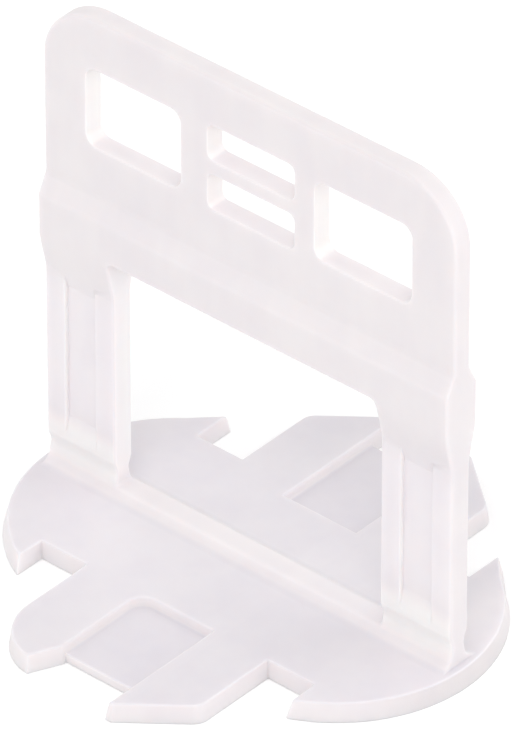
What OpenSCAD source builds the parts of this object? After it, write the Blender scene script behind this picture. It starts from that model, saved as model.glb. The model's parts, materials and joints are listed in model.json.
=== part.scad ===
// Tile levelling clip, moulded in one piece from natural plastic.
// The base slides under two neighbouring tiles and the frame stands up in the joint between them.
// A wedge pushed through the window pulls the base up against the tiles, and once the adhesive has set
// the frame is knocked off at the thin neck above the base.
// Origin: underside of the base, midway between the legs. X runs across the legs, Z is up, -Y is the front.

/* [Frame] */
// Width across the outer edges of the legs
frame_w = 40; // [34:0.5:56]
// Height of the head's top edge above the underside of the base
frame_h = 44; // [40:0.5:70]
// Thickness of the head
head_t = 1.75; // [1.2:0.05:2.6]
// Radius of the head's upper corners
head_corner_r = 5.25; // [1:0.25:8]

/* [Head openings] */
// Height of the centre of the openings, below the head's top edge
opening_drop = 8; // [6:0.25:12]
// Distance between the centres of the two grip holes
hole_pitch = 22.3; // [20:0.1:26]
// Width of a grip hole
hole_w = 9.3; // [5:0.1:11]
// Height of a grip hole
hole_h = 6.9; // [4:0.1:9]
// Corner radius of a grip hole
hole_corner_r = 1; // [0.2:0.1:1.8]
// Length of a middle slot
slot_l = 8.4; // [5:0.1:10]
// Height of a middle slot
slot_h = 3.1; // [1.5:0.1:3.6]
// Corner radius of a middle slot
slot_corner_r = 0.6; // [0.2:0.05:0.7]
// How far the slots sit to the right of the middle
slot_shift = 0.35; // [0.05:0.05:0.5]
// Distance between the centres of the two slots, one above the other
slot_pitch = 4.35; // [4:0.05:6]

/* [Window and bar] */
// Height of the window's top edge above the underside of the base
window_top_z = 23.2; // [16:0.1:25]
// Radius of the window's upper corners
window_corner_r = 0.6; // [0.2:0.1:3]
// Thickness of the thick bar that the wedge bears against
bar_t = 3.4; // [2.6:0.1:6]
// Height of the bar's flat faces
bar_face_h = 3.8; // [2:0.1:4.5]
// How far the bar's flat faces reach below the window's top edge, down the legs
bar_drop = 0.4; // [0:0.1:1.5]
// Height of the slope from the bar in to the head
bar_shoulder_h = 1.6; // [0.5:0.1:2]
// Height of the slope from the bar in to the legs
bar_taper_h = 3.1; // [1.5:0.1:5]

/* [Legs] */
// Width of a leg
leg_w = 6.9; // [5:0.1:10]
// Thickness of a leg, which sets the width of the tile joint
leg_t = 2; // [1.6:0.05:2.5]
// Width of the channel down the middle of each face of a leg
channel_w = 3; // [1.5:0.1:4.5]
// Depth of the channel
channel_d = 0.35; // [0.3:0.05:0.6]
// Height at which the channel runs out at the foot of the leg
channel_foot_z = 4.8; // [4.7:0.1:8]
// Height of the slope that runs the channel out at the foot
channel_ramp_h = 1.8; // [0.5:0.1:4]
// Height of the slope that closes the channel under the bar
channel_crown_h = 1.2; // [0.5:0.1:1.5]
// Height of the break-off neck
neck_z = 3.5; // [3:0.1:4]
// Thickness of the break-off neck
neck_t = 1.3; // [0.6:0.05:1.5]
// Height over which a leg narrows to its neck
neck_flare_h = 0.9; // [0.3:0.1:1]

/* [Base] */
// Thickness of the base
plate_t = 1.6; // [1.2:0.05:2]
// How far the walls of the arms and notches lean in from foot to top
draft_w = 0.25; // [0.1:0.05:0.8]
// How far the rim of the round ends leans in from foot to top, which eases them under a tile
rim_draft_w = 0.4; // [0.1:0.05:1.2]
// How far the round ends stand out beyond the legs
rim_overhang = 1; // [0.2:0.05:3]
// Radius of the round ends
lobe_r = 13; // [12:0.1:16]
// Depth of the round ends, from the rim to the notches
lobe_depth = 7.7; // [6:0.1:9]
// Direction that the straight run of the rim behind faces, in degrees
lobe_flat_dir = 45; // [40:0.5:55]
// How far inside the round rim that straight run begins
lobe_flat_inset = 0.1; // [0.05:0.05:0.3]
// Reach of the round ends' tips behind the legs
lobe_tip_reach = 12.5; // [11.5:0.1:14]
// Width of the middle strip, from the notches in front to those behind
spine_w = 18.1; // [14:0.1:19]
// Width of a notch between a round end and an arm
notch_w = 4.1; // [3:0.1:5]
// Gap between the two arms on one side
arm_gap = 6.7; // [4:0.1:8]
// Reach of the pointed arms in front of and behind the legs, to where their sides would meet
arm_reach = 21.2; // [19:0.1:26]
// How much of that point is cut off
arm_tip_cut = 0.5; // [0.1:0.1:1]
// Slant of the arms' ends, in degrees
arm_slant = 39; // [15:0.5:45]
// Radius of the corner where a slanted end begins
arm_corner_r = 1.5; // [0.5:0.1:2.5]
// Radius of the one rounded arm, in front on the left
round_arm_r = 5; // [3:0.1:5.5]
// Reach of the rounded arm's curve
round_arm_reach = 20.4; // [19:0.1:26]
// Slant of the cut on the rounded arm's inner corner, in degrees
round_arm_cut = 65; // [45:0.5:70]
// Thickness of the thin web between two arms
web_t = 0.8; // [0.5:0.05:1.1]
// Reach of the web in front of and behind the legs
web_reach = 17.4; // [12:0.1:18]
// How much nearer to the legs the web behind begins than the one in front
web_root_shift = 1.4; // [0.2:0.1:3]

/* [Rib] */
// Height of the rib that joins the legs, above the base
rib_h = 0.7; // [0.3:0.05:1]
// Width of the rib's top
rib_top_w = 1.8; // [1.2:0.05:2.6]
// Width of the rib where it meets the base
rib_foot_w = 3.2; // [2.8:0.05:6]

/* [Hidden] */
$fn = 96;
milky_white = [0.93, 0.91, 0.92];

// Frame
window_w = frame_w - 2 * leg_w;
leg_x = (frame_w - leg_w) / 2;
opening_z = frame_h - opening_drop;

// Heights down the side of the frame
rib_top_z = plate_t + rib_h;
neck_top_z = neck_z + neck_flare_h;
bar_low_z = window_top_z - bar_drop;
bar_high_z = bar_low_z + bar_face_h;
taper_foot_z = bar_low_z - bar_taper_h;
shoulder_z = bar_high_z + bar_shoulder_h;

// Plan of the base
rim_x = frame_w / 2 + rim_overhang;
lobe_cx = rim_x - lobe_r;
lobe_x = rim_x - lobe_depth;
arm_out_x = lobe_x - notch_w;
arm_in_x = arm_gap / 2;
spine_y = spine_w / 2;
spine_back_y = spine_y - web_root_shift;

// Slanted end of a pointed arm: its outward direction and its distance from the origin
end_dir = 90 - arm_slant;
end_edge = arm_in_x * cos(end_dir) + arm_reach * sin(end_dir);
// Centre of the corner where that end begins
corner_x = arm_out_x - arm_corner_r;
corner_y = (end_edge - arm_corner_r - corner_x * cos(end_dir)) / sin(end_dir);

// Curve of the rounded arm
curve_x = arm_out_x - round_arm_r;
curve_y = round_arm_reach - round_arm_r;
// Cut on its inner corner, which starts just beyond the web
cut_dir = 90 + round_arm_cut;
cut_start_y = web_reach + draft_w;
cut_edge = arm_in_x * cos(cut_dir) + cut_start_y * sin(cut_dir);

// How far a form runs into its neighbour to fuse with it
fuse = plate_t / 2;
// A length that spans the whole clip
span = 4 * max(frame_w, frame_h, arm_reach, round_arm_reach);

// Runs a profile of (y, z) points along X
module along_x(length) {
    rotate([90, 0, 90]) linear_extrude(length, center = true) children();
}

// Runs a profile of (x, z) points along Y
module along_y(length) {
    rotate([90, 0, 0]) linear_extrude(length, center = true) children();
}

// Puts what is modelled at the right and behind into another quarter of the plan
module quarter(side, face) {
    mirror([side < 0 ? 1 : 0, 0, 0]) mirror([0, face < 0 ? 1 : 0, 0]) children();
}

module rounded_rect(w, h, r) {
    square([w - 2 * r, h], center = true);
    square([w, h - 2 * r], center = true);
    for (u = [-1, 1], v = [-1, 1]) {
        translate([u * (w / 2 - r), v * (h / 2 - r)]) circle(r);
    }
}

// Front view of the frame. It runs on below the base, where the side view ends it.
module frame_front() {
    difference() {
        rounded_rect(frame_w, 2 * frame_h, head_corner_r);
        rounded_rect(window_w, 2 * window_top_z, window_corner_r);
        for (side = [-1, 1]) {
            translate([side * hole_pitch / 2, opening_z]) rounded_rect(hole_w, hole_h, hole_corner_r);
        }
        for (row = [-1, 1]) {
            translate([slot_shift, opening_z + row * slot_pitch / 2]) {
                rounded_rect(slot_l, slot_h, slot_corner_r);
            }
        }
    }
}

// Side view of the frame: foot, neck, leg, bar and head
module frame_side() {
    half = [
        [rib_top_w / 2, plate_t - fuse],
        [rib_top_w / 2, rib_top_z],
        [neck_t / 2, neck_z],
        [leg_t / 2, neck_top_z],
        [leg_t / 2, taper_foot_z],
        [bar_t / 2, bar_low_z],
        [bar_t / 2, bar_high_z],
        [head_t / 2, shoulder_z],
        [head_t / 2, frame_h],
    ];
    other_half = [for (i = [len(half) - 1:-1:0]) [-half[i].x, half[i].y]];
    polygon(concat(half, other_half));
}

// Cutter for one channel. Its end slopes run out past the face of the leg.
module leg_channel() {
    face = leg_t / 2;
    floor = face - channel_d;
    outside = face + channel_d;
    along_x(channel_w) polygon([
        [outside, channel_foot_z - channel_ramp_h],
        [floor, channel_foot_z + channel_ramp_h],
        [floor, taper_foot_z - channel_crown_h],
        [outside, taper_foot_z + channel_crown_h],
    ]);
}

module frame() {
    difference() {
        intersection() {
            along_y(span) frame_front();
            along_x(span) frame_side();
        }
        for (side = [-1, 1], face = [-1, 1]) {
            quarter(side, face) translate([leg_x, 0, 0]) leg_channel();
        }
    }
}

// Section of the base near a wall that leans in
module edge_section(back, edge, lean) {
    polygon([
        [back, 0],
        [edge, 0],
        [edge - lean, plate_t],
        [back, plate_t],
    ]);
}

// All of the base on the near side of a straight wall that faces a direction in the plan
module straight_side(edge, direction, lean = draft_w) {
    rotate([0, 0, direction]) along_y(span) edge_section(-span / 2, edge, lean);
}

// Round piece of the base
module round_side(r, lean = draft_w) {
    rotate_extrude() edge_section(0, r, lean);
}

// All of the base on one side of a line through the origin, with no edge of its own
module half_plate(direction) {
    rotate([0, 0, direction]) translate([0, -span / 2, 0]) cube([span / 2, span, plate_t]);
}

// Strip under the legs between two notches or webs, one in front and one behind
module strip(near_x, far_x, front_y, back_y) {
    intersection() {
        straight_side(front_y, -90);
        straight_side(back_y, 90);
        translate([near_x, 0, 0]) half_plate(0);
        translate([far_x, 0, 0]) half_plate(180);
    }
}

// Middle of the base, which the notches and webs leave standing
module spine() {
    middle_x = arm_in_x + draft_w + fuse;
    strip(-middle_x, middle_x, spine_y, spine_back_y);
    for (side = [-1, 1]) quarter(side, 1) intersection() {
        strip(arm_in_x, lobe_x + draft_w + fuse, spine_y, spine_y);
        straight_side(-arm_in_x, 180);
    }
}

// Round end at the right, whose rim behind runs straight on to a blunt tip
module lobe() {
    intersection() {
        translate([lobe_cx, 0, 0]) union() {
            round_side(lobe_r, rim_draft_w);
            intersection() {
                straight_side(lobe_r - lobe_flat_inset, lobe_flat_dir, rim_draft_w);
                half_plate(lobe_flat_dir + 90);
            }
        }
        straight_side(-lobe_x, 180);
        straight_side(lobe_tip_reach, 90);
    }
}

// Two long sides of the arm at the right and behind, from within the spine outwards
module arm_sides() {
    intersection() {
        straight_side(arm_out_x, 0);
        straight_side(-arm_in_x, 180);
        translate([0, spine_y - draft_w - fuse, 0]) half_plate(90);
    }
}

module pointed_arm() {
    intersection() {
        arm_sides();
        union() {
            translate([0, corner_y, 0]) half_plate(-90);
            translate([corner_x, corner_y, 0]) round_side(arm_corner_r);
            intersection() {
                straight_side(end_edge, end_dir);
                translate([corner_x, corner_y, 0]) half_plate(end_dir + 90);
            }
        }
        straight_side(arm_reach - arm_tip_cut, 90);
    }
}

module rounded_arm() {
    intersection() {
        arm_sides();
        union() {
            translate([0, curve_y, 0]) half_plate(-90);
            translate([curve_x, curve_y, 0]) round_side(round_arm_r);
        }
        straight_side(cut_edge, cut_dir);
    }
}

// Thin floor between two arms, from within the spine outwards
module web(spine_edge) {
    root_y = spine_edge - draft_w - fuse;
    half_w = arm_in_x + draft_w + fuse;
    translate([-half_w, root_y, 0]) cube([2 * half_w, web_reach - root_y, web_t]);
}

module base() {
    spine();
    for (side = [-1, 1]) quarter(side, 1) lobe();
    quarter(1, -1) web(spine_y);
    quarter(1, 1) web(spine_back_y);
    for (face = [-1, 1]) quarter(1, face) pointed_arm();
    quarter(-1, 1) pointed_arm();
    quarter(-1, -1) rounded_arm();
}

// Rib in the plane of the legs, flush with their outer edges
module rib() {
    along_x(frame_w) polygon([
        [-rib_foot_w / 2, plate_t - fuse],
        [rib_foot_w / 2, plate_t - fuse],
        [rib_foot_w / 2, plate_t],
        [rib_top_w / 2, rib_top_z],
        [-rib_top_w / 2, rib_top_z],
        [-rib_foot_w / 2, plate_t],
    ]);
}

module levelling_clip() {
    color(milky_white) union() {
        base();
        rib();
        frame();
    }
}

levelling_clip();
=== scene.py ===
"""Tile levelling clip: one soft-edged moulding in natural polypropylene, on a white studio floor."""

import json
import logging
import math
from dataclasses import dataclass
from enum import Enum
from typing import Any, Union

import bmesh
import bpy
from mathutils import Matrix, Vector


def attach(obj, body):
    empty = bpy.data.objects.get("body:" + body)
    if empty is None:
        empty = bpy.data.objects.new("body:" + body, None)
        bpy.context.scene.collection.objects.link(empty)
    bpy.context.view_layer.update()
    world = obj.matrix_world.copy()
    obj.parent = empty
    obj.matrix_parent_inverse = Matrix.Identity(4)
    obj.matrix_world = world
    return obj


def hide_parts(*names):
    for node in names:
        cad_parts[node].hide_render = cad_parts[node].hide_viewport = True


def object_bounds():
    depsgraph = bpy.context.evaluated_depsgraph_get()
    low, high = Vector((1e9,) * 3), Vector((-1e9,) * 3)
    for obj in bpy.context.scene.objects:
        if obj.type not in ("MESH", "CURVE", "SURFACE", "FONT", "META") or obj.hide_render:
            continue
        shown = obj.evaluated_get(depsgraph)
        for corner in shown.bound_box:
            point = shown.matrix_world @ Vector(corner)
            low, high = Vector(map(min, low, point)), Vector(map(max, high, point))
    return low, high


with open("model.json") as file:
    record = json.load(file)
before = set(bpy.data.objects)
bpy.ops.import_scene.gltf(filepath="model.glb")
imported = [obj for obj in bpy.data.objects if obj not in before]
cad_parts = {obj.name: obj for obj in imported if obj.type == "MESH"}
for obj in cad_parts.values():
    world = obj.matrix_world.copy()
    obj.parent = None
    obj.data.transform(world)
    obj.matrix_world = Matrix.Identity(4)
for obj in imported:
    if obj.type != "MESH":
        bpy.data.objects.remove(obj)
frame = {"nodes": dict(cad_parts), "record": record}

CAD_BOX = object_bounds()
MM = 0.001
log = logging.getLogger("levelling_clip")

Colour = tuple[float, float, float]
Span = tuple[float, float]
Feed = Union["Socket", float, int, Colour, tuple[float, float, float, float]]


class Socket:
    """One output of a shader node. Python's operators on it add Math nodes."""

    def __init__(self, tree: "ShaderTree", output: bpy.types.NodeSocket) -> None:
        """Keeps the output and the tree that new nodes go into."""
        self.tree = tree
        self.output = output

    def _math(self, operation: str, first: Feed, second: Feed) -> "Socket":
        """Adds one Math node and returns its value."""
        return self.tree.node("ShaderNodeMath", {"operation": operation}, {0: first, 1: second})

    def __add__(self, other: Feed) -> "Socket":
        """Sum of two values."""
        return self._math("ADD", self, other)

    def __radd__(self, other: Feed) -> "Socket":
        """Sum with a plain number on the left."""
        return self._math("ADD", other, self)

    def __sub__(self, other: Feed) -> "Socket":
        """Difference of two values."""
        return self._math("SUBTRACT", self, other)

    def __rsub__(self, other: Feed) -> "Socket":
        """Difference with a plain number on the left."""
        return self._math("SUBTRACT", other, self)

    def __mul__(self, other: Feed) -> "Socket":
        """Product of two values."""
        return self._math("MULTIPLY", self, other)

    def __rmul__(self, other: Feed) -> "Socket":
        """Product with a plain number on the left."""
        return self._math("MULTIPLY", other, self)

    def at_least(self, low: Feed) -> "Socket":
        """The larger of this value and another."""
        return self._math("MAXIMUM", self, low)


class ShaderTree:
    """The node tree of one material or of the world."""

    def __init__(self, owner: Union[bpy.types.Material, bpy.types.World]) -> None:
        """Empties the owner's node tree and keeps it.

        Args:
            owner: the material or world whose nodes are made.
        """
        owner.use_nodes = True
        self.tree = owner.node_tree
        self.tree.nodes.clear()

    def node(
        self,
        kind: str,
        settings: dict[str, Any] | None = None,
        inputs: dict[str | int, Feed] | None = None,
        output: str | int = 0,
    ) -> Socket:
        """Makes one node, the only place where nodes are made.

        Args:
            kind: the node's type name.
            settings: attributes to set first, such as a Math node's operation.
            inputs: values or links by the socket's name or number.
            output: the name or number of the output that is returned.

        Returns:
            The chosen output, wrapped. A node with no output returns an empty wrapper.
        """
        made = self.tree.nodes.new(kind)
        for name, value in (settings or {}).items():
            setattr(made, name, value)
        for name, value in (inputs or {}).items():
            if isinstance(value, Socket):
                self.tree.links.new(value.output, made.inputs[name])
            else:
                made.inputs[name].default_value = value
        return Socket(self, made.outputs[output] if len(made.outputs) else None)

    def noise(self, place: Socket, size: float, detail: float = 2.0, falloff: float = 0.55) -> Socket:
        """Smooth noise from 0 to 1.

        Args:
            place: coordinates in metres.
            size: width of a patch, in metres.
            detail: number of finer layers.
            falloff: how strong each finer layer is beside the one before.

        Returns:
            The noise's value.
        """
        sockets = {"Vector": place, "Scale": 1.0 / size, "Detail": detail, "Roughness": falloff}
        return self.node("ShaderNodeTexNoise", {"normalize": True}, sockets, "Fac")

    def between(self, value: Socket, low: float, high: float) -> Socket:
        """A mask that rises smoothly from 0 at low to 1 at high."""
        sockets = {"Value": value, "From Min": low, "From Max": high}
        return self.node("ShaderNodeMapRange", {"interpolation_type": "SMOOTHSTEP"}, sockets)

    def within(self, value: Socket, span: Span, fade: float) -> Socket:
        """A mask that is 1 between two places in millimetres and fades out beyond them."""
        low, high, soft = span[0] * MM, span[1] * MM, fade * MM
        return self.between(value, low - soft, low) * (1.0 - self.between(value, high, high + soft))

    def mix(self, share: Feed, first: Feed, second: Feed, blend: str = "MIX") -> Socket:
        """Mixes two colours.

        Args:
            share: how much of the second colour shows, from 0 to 1.
            first: colour at 0.
            second: colour at 1, or the factor at 1 where the blend multiplies.
            blend: how the two meet.

        Returns:
            The mixed colour.
        """
        colour_first, colour_second, colour_result = 6, 7, 2
        sockets = {0: share, colour_first: first, colour_second: second}
        settings = {"data_type": "RGBA", "blend_type": blend}
        return self.node("ShaderNodeMix", settings, sockets, colour_result)

    def parts(self, vector: Socket) -> tuple[Socket, ...]:
        """The three numbers of a vector."""
        return tuple(
            self.node("ShaderNodeSeparateXYZ", inputs={0: vector}, output=axis) for axis in range(3))

    def seen_ray(self) -> Socket:
        """1 for rays that show the backdrop, directly, in a reflection or through the clip."""
        rays = [self.node("ShaderNodeLightPath", output=name) for name in (
            "Is Camera Ray", "Is Glossy Ray", "Is Transmission Ray")]
        return rays[0].at_least(rays[1]).at_least(rays[2])


def opaque(colour: Colour) -> tuple[float, float, float, float]:
    """A colour with full alpha, as colour sockets take it."""
    return (*colour, 1.0)


class Facing(Enum):
    """Way that a face must look to belong to a zone."""

    RIGHT = (1.0, 0.0, 0.0)
    FRONT = (0.0, -1.0, 0.0)
    UP = (0.0, 0.0, 1.0)
    FRONT_UP = (0.0, -0.7071, 0.7071)
    LEFT_UP = (-0.7071, 0.0, 0.7071)
    BACK_UP = (0.0, 0.7071, 0.7071)


@dataclass(frozen=True)
class PaintedLightZone:
    """Part of the moulding painted lighter, darker or cooler: mostly painted light and shade on faces that
    look one way, and on the base also the lavender cast of the thin plastic.

    It lies between two heights, and between two sides and two depths where they are given,
    all in millimetres. A face belongs to it where it looks the zone's way squarely enough,
    with 1 for straight on.
    """

    painted_light_tint: Colour
    heights: Span
    fade: float
    facing: Facing
    square_on: float = 0.6
    sides: Span | None = None
    depths: Span | None = None
    turn_fade: float = 0.3

    def share(self, tree: ShaderTree, place: Socket, normal: Socket) -> Socket:
        """How much a point belongs to the zone.

        Args:
            tree: the material's nodes.
            place: coordinates in metres.
            normal: direction of the face.

        Returns:
            A mask from 0 to 1.
        """
        across, behind, height = tree.parts(place)
        share = tree.within(height, self.heights, self.fade)
        for value, span in ((across, self.sides), (behind, self.depths)):
            if span is not None:
                share = share * tree.within(value, span, self.fade)
        ways = {0: normal, 1: self.facing.value}
        toward = tree.node("ShaderNodeVectorMath", {"operation": "DOT_PRODUCT"}, ways, "Value")
        return share * tree.between(toward, self.square_on - self.turn_fade, self.square_on)


@dataclass(frozen=True)
class MilkyPlastic:
    """Natural polypropylene: milky, a little see-through, with a satin face from the mould."""

    milk: Colour = (0.870, 0.829, 0.838)
    shade: Colour = (0.838, 0.796, 0.817)
    cloud_size: float = 7.0 * MM
    streak_size: float = 2.2 * MM
    streak_stretch: float = 5.0
    cloud_share: float = 0.65
    cloud_range: Span = (0.35, 0.68)
    cloud_detail: float = 3.0
    relief_detail: float = 1.0
    grain_size: float = 0.16 * MM
    grain_depth: float = 0.004 * MM
    ripple_size: float = 3.0 * MM
    ripple_depth: float = 0.02 * MM
    rough_low: float = 0.36
    rough_span: float = 0.16
    glow_depth: float = 0.45 * MM
    glow_spread: Colour = (1.0, 0.92, 0.88)
    refraction: float = 1.49
    # Zones of painted light and shade; the two on the base also carry the thin plastic's lavender cast.
    painted_light_zones: tuple[PaintedLightZone, ...] = (
        # Thin webs between the arms: the thin plate's lavender cast, and painted shade in the recessed
        # pockets
        PaintedLightZone((0.908, 0.916, 0.946), (-1.0, 0.85), 0.1, Facing.UP),
        # Top of the base: the thin plate's lavender cast, and painted shade on faces that look up
        PaintedLightZone((0.931, 0.940, 0.962), (1.4, 1.65), 0.2, Facing.UP, 0.5),
        # Painted highlight along the edges of the webs' pockets that look left
        PaintedLightZone((1.100, 1.095, 1.070), (1.3, 1.65), 0.2, Facing.LEFT_UP, 0.95, (2.5, 4.5)),
        # Painted highlight along the edge of the back pocket that looks away
        PaintedLightZone((1.100, 1.095, 1.070), (1.3, 1.65), 0.2, Facing.BACK_UP, 0.95, (-4.0, 4.0), (7.0, 8.0)),
        # Right round end, behind the leg: painted light that lifts the leg's shadow there
        PaintedLightZone((1.080, 1.075, 1.065), (1.4, 1.65), 3.0, Facing.UP, 0.6, (17.0, 30.0), (4.0, 30.0)),
        # Wall of the right round end: painted shade
        PaintedLightZone((0.910, 0.910, 0.905), (-1.0, 1.45), 0.1, Facing.RIGHT, 1.0, (15.0, 30.0)),
        # Feet of the legs: painted highlight on their fronts, which also lifts the shade in the neck groove
        PaintedLightZone((1.140, 1.108, 1.082), (3.2, 5.2), 1.8, Facing.FRONT, 0.95),
        # Fronts of the legs: painted light, a little lighter where they look forward
        PaintedLightZone((1.036, 1.036, 1.050), (9.0, 17.0), 4.0, Facing.FRONT, 0.95),
        # Inner wall of the left leg, and channel walls: painted light on faces that look right
        PaintedLightZone((1.135, 1.097, 1.082), (4.0, 22.0), 1.5, Facing.RIGHT, 0.95, (-30.0, 15.5)),
        # Top of the head: painted shade on faces that look up
        PaintedLightZone((0.980, 0.980, 0.975), (42.0, 50.0), 2.0, Facing.UP),
        # Soft upper edges of the head and the openings: painted shade that dims their highlight
        PaintedLightZone((0.950, 0.945, 0.945), (32.0, 50.0), 1.0, Facing.FRONT_UP, 1.0),
        # Walls of the holes and slots: painted light on faces that look right
        PaintedLightZone((1.125, 1.085, 1.058), (28.5, 41.0), 2.0, Facing.RIGHT, 0.6, (-30.0, 12.0)),
    )

    def material(self) -> bpy.types.Material:
        """Makes the plastic.

        Returns:
            A material on Object coordinates, with clouds, flow streaks, grain, a glow from within, and
            painted light and shade in zones.
        """
        made = bpy.data.materials.new("milky_polypropylene")
        tree = ShaderTree(made)
        place = tree.node("ShaderNodeTexCoord", output="Object")
        stretch = {"Vector": place, "Scale": (1.0, 1.0, 1.0 / self.streak_stretch)}
        drawn = tree.node("ShaderNodeMapping", inputs=stretch)

        clouds = tree.noise(place, self.cloud_size, self.cloud_detail)
        streaks = tree.noise(drawn, self.streak_size)
        blotches = self.cloud_share * clouds + (1.0 - self.cloud_share) * streaks
        cloudy = tree.between(blotches, *self.cloud_range)
        grain = tree.noise(place, self.grain_size, self.relief_detail)
        ripples = tree.noise(place, self.ripple_size, self.relief_detail)
        relief = self.grain_depth * grain + self.ripple_depth * ripples
        bump = tree.node("ShaderNodeBump", {}, {"Height": relief, "Distance": 1.0, "Strength": 1.0})

        colour = tree.mix(cloudy, opaque(self.milk), opaque(self.shade))
        normal = tree.node("ShaderNodeTexCoord", output="Normal")
        # Painted light and shade: each zone multiplies the colour by its tint where it holds
        for zone in self.painted_light_zones:
            colour = tree.mix(zone.share(tree, place, normal), colour, opaque(zone.painted_light_tint), "MULTIPLY")

        shader = tree.node("ShaderNodeBsdfPrincipled", {"subsurface_method": "RANDOM_WALK"}, {
            "Base Color": colour,
            "Roughness": self.rough_low + self.rough_span * (0.5 * clouds + 0.5 * streaks),
            "Normal": bump,
            "IOR": self.refraction,
            "Subsurface Weight": 1.0,
            "Subsurface Radius": self.glow_spread,
            "Subsurface Scale": self.glow_depth,
        })
        tree.node("ShaderNodeOutputMaterial", inputs={"Surface": shader})
        return made


@dataclass(frozen=True)
class StudioPaper:
    """White paper under the clip. It keeps the shadow, and its own light only reaches the camera."""

    paper: Colour = (0.90, 0.90, 0.90)
    lift: float = 0.18

    def material(self) -> bpy.types.Material:
        """Makes the paper.

        Returns:
            A material that is lifted to white for what the camera sees.
        """
        made = bpy.data.materials.new("studio_paper")
        tree = ShaderTree(made)
        paper = tree.node("ShaderNodeBsdfDiffuse", inputs={"Color": opaque(self.paper)})
        lift = tree.node("ShaderNodeEmission", inputs={"Strength": self.lift * tree.seen_ray()})
        both = tree.node("ShaderNodeAddShader", inputs={0: paper, 1: lift})
        tree.node("ShaderNodeOutputMaterial", inputs={"Surface": both})
        return made


class EdgeKind(Enum):
    """Kinds of edge on the moulding, each with how far its rounding reaches, in metres."""

    BLEND = 0.70 * MM
    GROOVE = 0.55 * MM
    RIB_FOOT = 0.50 * MM
    WEB_FOOT = 0.30 * MM
    SHOULDER = 0.26 * MM
    OUTLINE = 0.25 * MM
    RIB_TOP = 0.24 * MM
    NECK = 0.20 * MM
    WEB_TOP = 0.18 * MM
    BASE = 0.12 * MM
    CHANNEL = 0.11 * MM
    OPENING = 0.09 * MM
    UNDERSIDE = 0.08 * MM


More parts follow.
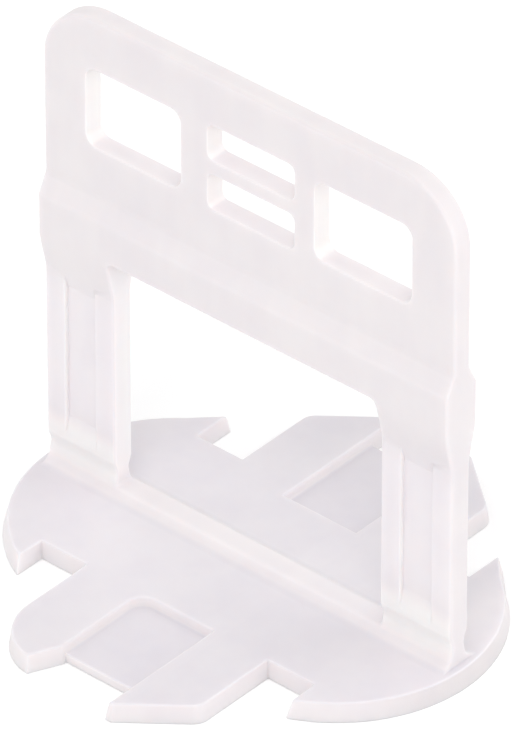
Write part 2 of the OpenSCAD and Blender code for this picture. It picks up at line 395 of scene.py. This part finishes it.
@dataclass
class LevellingClip:
    """The moulding: its solid from the frame, with the soft edges of a moulded piece."""

    node: str = "levelling_clip"
    leg_w: float = 6.9 * MM
    channel_w: float = 3.0 * MM
    channel_foot_z: float = 4.8 * MM
    web_half_w: float = 3.6 * MM
    web_start: float = 6.9 * MM
    web_z: float = 0.8 * MM
    web_corner_r: float = 1.4 * MM
    corner_segments: int = 5
    rib_h: float = 0.7 * MM
    rib_reach: float = 3.45 * MM
    groove_z: float = 3.5 * MM
    neck_top_z: float = 4.4 * MM
    bar_reach: float = 5.2 * MM
    blend_reach: float = 2.3 * MM
    head_half_t: float = 0.87 * MM
    openings_half_w: float = 17.0 * MM
    openings_low_z: float = 30.0 * MM
    openings_high_z: float = 42.0 * MM
    frame_half_w: float = 20.0 * MM
    weld: float = 0.001 * MM
    slack: float = 0.05 * MM
    flat_angle: float = math.radians(0.6)
    facet_angle: float = math.radians(20.5)
    crease_low: float = math.radians(10.0)
    crease_high: float = math.radians(60.0)
    across_slack: float = 0.01
    same_run: float = math.cos(math.radians(25.0))
    room_share: float = 0.38
    tight_reach: float = 0.9 * MM
    long_edge: float = 2.7 * MM
    edge_segments: int = 3
    round_profile: float = 0.5
    normal_weight: int = 100

    def __post_init__(self) -> None:
        """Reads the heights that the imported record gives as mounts."""
        heights = {m["name"]: m["pos_m"][2] for m in frame["record"]["mounts"]}
        self.plate_z = heights["tile_seat_front"]
        self.window_z = heights["wedge_bearing"]
        self.leg_x = self.frame_half_w - self.leg_w / 2

    def build(self, finish: MilkyPlastic) -> bpy.types.Object:
        """Makes the soft-edged clip in place of its solid.

        Args:
            finish: the plastic that it is moulded in.

        Returns:
            The finished piece, riding on the only body.
        """
        piece = bpy.data.objects.new("soft_clip", self._marked_mesh())
        bpy.context.scene.collection.objects.link(piece)
        self._round_edges(piece)
        piece.data.materials.append(finish.material())
        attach(piece, "root")
        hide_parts(self.node)
        return piece

    def _marked_mesh(self) -> bpy.types.Mesh:
        """Merges a copy of the solid's mesh and marks each edge with its share of the widest rounding.

        Returns:
            The mesh, with flat faces still joined by sharp edges.
        """
        form = bmesh.new()
        form.from_mesh(frame["nodes"][self.node].data)
        bmesh.ops.remove_doubles(form, verts=form.verts, dist=self.weld)
        bmesh.ops.dissolve_limit(
            form, angle_limit=self.flat_angle, use_dissolve_boundaries=False,
            verts=form.verts, edges=form.edges)
        bmesh.ops.bevel(
            form, geom=[edge for edge in form.edges if self._is_web_corner(edge)], affect="EDGES",
            offset=self.web_corner_r, offset_type="OFFSET", segments=self.corner_segments,
            profile=self.round_profile, clamp_overlap=False, material=-1)
        for edge in [edge for edge in form.edges if self._is_sharp(edge)]:
            self._part_tight_ends(edge)
        share = form.edges.layers.float.new("bevel_weight_edge")
        widest = max(kind.value for kind in EdgeKind)
        for edge in form.edges:
            if self._is_sharp(edge):
                room = min(self._room(edge, vert) for vert in edge.verts)
                edge[share] = min(self._kind(edge).value, room) / widest
        for face in form.faces:
            face.smooth = True
        made = bpy.data.meshes.new("soft_clip")
        form.to_mesh(made)
        form.free()
        return made

    def _kind(self, edge: bmesh.types.BMEdge) -> EdgeKind:
        """Tells what kind of edge this is from where it lies and what meets there.

        Args:
            edge: an edge between two faces that aren't in line.

        Returns:
            Its kind.
        """
        ends = [vert.co for vert in edge.verts]
        low, high = sorted(end.z for end in ends)
        crease = self._is_crease(edge)
        slack = self.slack
        if high < slack:
            return EdgeKind.UNDERSIDE
        on_web = all(abs(end.z - self.web_z) < slack for end in ends)
        if on_web and edge.calc_face_angle_signed(0.0) < 0.0:
            return EdgeKind.WEB_FOOT
        beside_web = all(
            abs(end.x) < self.web_half_w + slack and abs(end.y) > self.web_start for end in ends)
        if beside_web and abs(low - self.plate_z) < slack and high < self.plate_z + slack:
            return EdgeKind.WEB_TOP
        if high < self.plate_z + slack:
            return EdgeKind.RIB_FOOT if crease and abs(ends[0].y) < self.rib_reach else EdgeKind.BASE
        near_bar = abs(low - self.window_z) < self.bar_reach
        if crease and near_bar and abs(ends[0].y) > self.head_half_t - slack:
            return EdgeKind.BLEND if low < self.window_z + self.blend_reach else EdgeKind.SHOULDER
        inside = all(abs(end.x) < self.openings_half_w for end in ends)
        if inside and low > self.openings_low_z and high < self.openings_high_z:
            return EdgeKind.OPENING
        in_leg = all(abs(abs(end.x) - self.leg_x) < self.channel_w / 2 + slack for end in ends)
        if in_leg and low > self.channel_foot_z - slack and high < self.window_z:
            return EdgeKind.CHANNEL
        if crease and high < self.neck_top_z + slack:
            if high < self.plate_z + self.rib_h + slack:
                return EdgeKind.RIB_TOP
            return EdgeKind.GROOVE if high < self.groove_z + slack else EdgeKind.NECK
        return EdgeKind.OUTLINE

    def _is_web_corner(self, edge: bmesh.types.BMEdge) -> bool:
        """Tells the one round corner of the pockets over the webs, which is in front at the left.

        Args:
            edge: any edge of the solid.

        Returns:
            True where the edge stands in that corner, from the web up to the top of the base.
        """
        low, high = sorted(vert.co.z for vert in edge.verts)
        front_left = all(vert.co.x < 0.0 and vert.co.y < 0.0 for vert in edge.verts)
        upright = abs(low - self.web_z) < self.slack and abs(high - self.plate_z) < self.slack
        return front_left and upright and edge.calc_face_angle_signed(0.0) < -self.crease_high

    def _is_crease(self, edge: bmesh.types.BMEdge) -> bool:
        """True for a shallow crease that runs across the clip, from leg to leg."""
        across = all(abs(face.normal.x) < self.across_slack for face in edge.link_faces)
        return across and self.crease_low < edge.calc_face_angle(0.0) < self.crease_high

    def _is_sharp(self, edge: bmesh.types.BMEdge) -> bool:
        """True for an edge that is rounded, which the facets of a curve aren't."""
        return self._is_crease(edge) or edge.calc_face_angle(0.0) > self.facet_angle

    def _room(self, edge: bmesh.types.BMEdge, vert: bmesh.types.BMVert) -> float:
        """Finds how wide a rounding has room at one end of an edge.

        Args:
            edge: an edge that is rounded.
            vert: the end.

        Returns:
            A share of the shortest other sharp edge that meets it there at an angle.
        """
        along = (edge.other_vert(vert).co - vert.co).normalized()
        sides = [side.other_vert(vert).co - vert.co for side in vert.link_edges
                 if side is not edge and self._is_sharp(side)]
        rooms = [self.room_share * side.length for side in sides
                 if abs(side.normalized().dot(along)) < self.same_run]
        return min(rooms, default=math.inf)

    def _part_tight_ends(self, edge: bmesh.types.BMEdge) -> None:
        """Splits a long edge near an end with little room, so that the rest keeps its full rounding.

        Args:
            edge: an edge that is rounded.
        """
        width = self._kind(edge).value
        ends = [vert for vert in edge.verts if self._room(edge, vert) < width]
        for vert in ends:
            length = edge.calc_length()
            if length > self.long_edge:
                bmesh.utils.edge_split(edge, vert, self.tight_reach / length)

    def _round_edges(self, piece: bpy.types.Object) -> None:
        """Rounds the marked edges, with normals that leave the flat faces flat.

        Args:
            piece: the clip with its marked mesh.
        """
        rounding = piece.modifiers.new("soft_edges", "BEVEL")
        rounding.limit_method = "WEIGHT"
        rounding.width = max(kind.value for kind in EdgeKind)
        rounding.segments = self.edge_segments
        rounding.profile = self.round_profile
        rounding.use_clamp_overlap = False
        rounding.loop_slide = False
        rounding.harden_normals = False
        even = piece.modifiers.new("even_normals", "WEIGHTED_NORMAL")
        even.weight = self.normal_weight
        even.keep_sharp = False


@dataclass(frozen=True)
class Lamp:
    """One soft area lamp that faces the clip, with its direction in degrees."""

    name: str
    azimuth: float
    elevation: float
    watts: float
    distance: float = 0.60
    size: float = 0.40


@dataclass
class Studio:
    """Floor, light and camera."""

    camera_azimuth: float = 41.14
    camera_elevation: float = 35.80
    camera_distance: float = 863.4 * MM
    aim_right: float = 0.301 * MM
    aim_up: float = 15.338 * MM
    lens: float = 561.0
    sensor: float = 36.0
    clip_end: float = 10.0
    floor_half: float = 2.0
    sky_level: float = 0.93
    sky_right: float = 0.075
    sky_front: float = 0.16
    sky_top: float = -0.16
    lamps: tuple[Lamp, ...] = (
        Lamp("key", 30.0, 50.0, 1.07),
        Lamp("left_fill", -90.0, 30.0, 0.57),
        Lamp("back_right", 130.0, 30.0, 0.78),
        Lamp("back_light", 180.0, 40.0, 0.21),
    )

    def build(self) -> None:
        """Makes the floor, the world, the lamps and the camera."""
        self._floor()
        self._sky()
        for lamp in self.lamps:
            self._lamp(lamp)
        self._camera()
        bpy.context.scene.view_settings.view_transform = "Standard"

    @staticmethod
    def _direction(azimuth: float, elevation: float) -> Vector:
        """Unit vector from the clip towards a place round it, given in degrees."""
        turn, rise = math.radians(azimuth), math.radians(elevation)
        return Vector((math.sin(turn) * math.cos(rise), -math.cos(turn) * math.cos(rise), math.sin(rise)))

    def _floor(self) -> None:
        """Makes the paper floor that the clip stands on."""
        form = bmesh.new()
        bmesh.ops.create_grid(form, x_segments=1, y_segments=1, size=self.floor_half)
        mesh = bpy.data.meshes.new("floor")
        form.to_mesh(mesh)
        form.free()
        mesh.materials.append(StudioPaper().material())
        floor = bpy.data.objects.new("floor", mesh)
        bpy.context.scene.collection.objects.link(floor)

    def _sky(self) -> None:
        """Makes an even room, a little brighter to the right and in front. The camera sees white."""
        world = bpy.data.worlds.new("white_room")
        bpy.context.scene.world = world
        tree = ShaderTree(world)
        toward = tree.node("ShaderNodeTexCoord", output="Generated")
        x, y, z = tree.parts(toward)
        room = (self.sky_level + self.sky_right * x - self.sky_front * y + self.sky_top * z).at_least(0.0)
        seen = tree.seen_ray()
        level = seen + (1.0 - seen) * room
        light = tree.node("ShaderNodeBackground", inputs={"Strength": level})
        tree.node("ShaderNodeOutputWorld", inputs={"Surface": light})

    def _lamp(self, lamp: Lamp) -> None:
        """Hangs one square area lamp, turned to the middle of the clip.

        Args:
            lamp: where it hangs and how bright it is.
        """
        data = bpy.data.lights.new(lamp.name, "AREA")
        data.shape = "SQUARE"
        data.size = lamp.size
        data.energy = lamp.watts
        hung = bpy.data.objects.new(lamp.name, data)
        back = self._direction(lamp.azimuth, lamp.elevation)
        middle = (CAD_BOX[0] + CAD_BOX[1]) / 2
        hung.matrix_world = Matrix.Translation(middle + back * lamp.distance) @ (
            back.to_track_quat("Z", "Y").to_matrix().to_4x4())
        bpy.context.scene.collection.objects.link(hung)

    def _camera(self) -> None:
        """Places the camera where the photograph was taken from."""
        data = bpy.data.cameras.new("camera")
        data.lens = self.lens
        data.sensor_width = self.sensor
        data.clip_end = self.clip_end
        camera = bpy.data.objects.new("camera", data)
        back = self._direction(self.camera_azimuth, self.camera_elevation)
        right = Vector((0.0, 0.0, 1.0)).cross(back).normalized()
        up = back.cross(right)
        place = right * self.aim_right + up * self.aim_up + back * self.camera_distance
        camera.matrix_world = Matrix.Translation(place) @ Matrix((right, up, back)).transposed().to_4x4()
        bpy.context.scene.collection.objects.link(camera)
        bpy.context.scene.camera = camera


def main() -> None:
    """Builds the clip and its studio, and reports each piece."""
    logging.basicConfig(level=logging.INFO, format="%(name)s: %(message)s")
    Studio().build()
    clip = LevellingClip().build(MilkyPlastic())
    log.info("%s: %d faces before rounding", clip.name, len(clip.data.polygons))


if __name__ == "__main__":
    main()
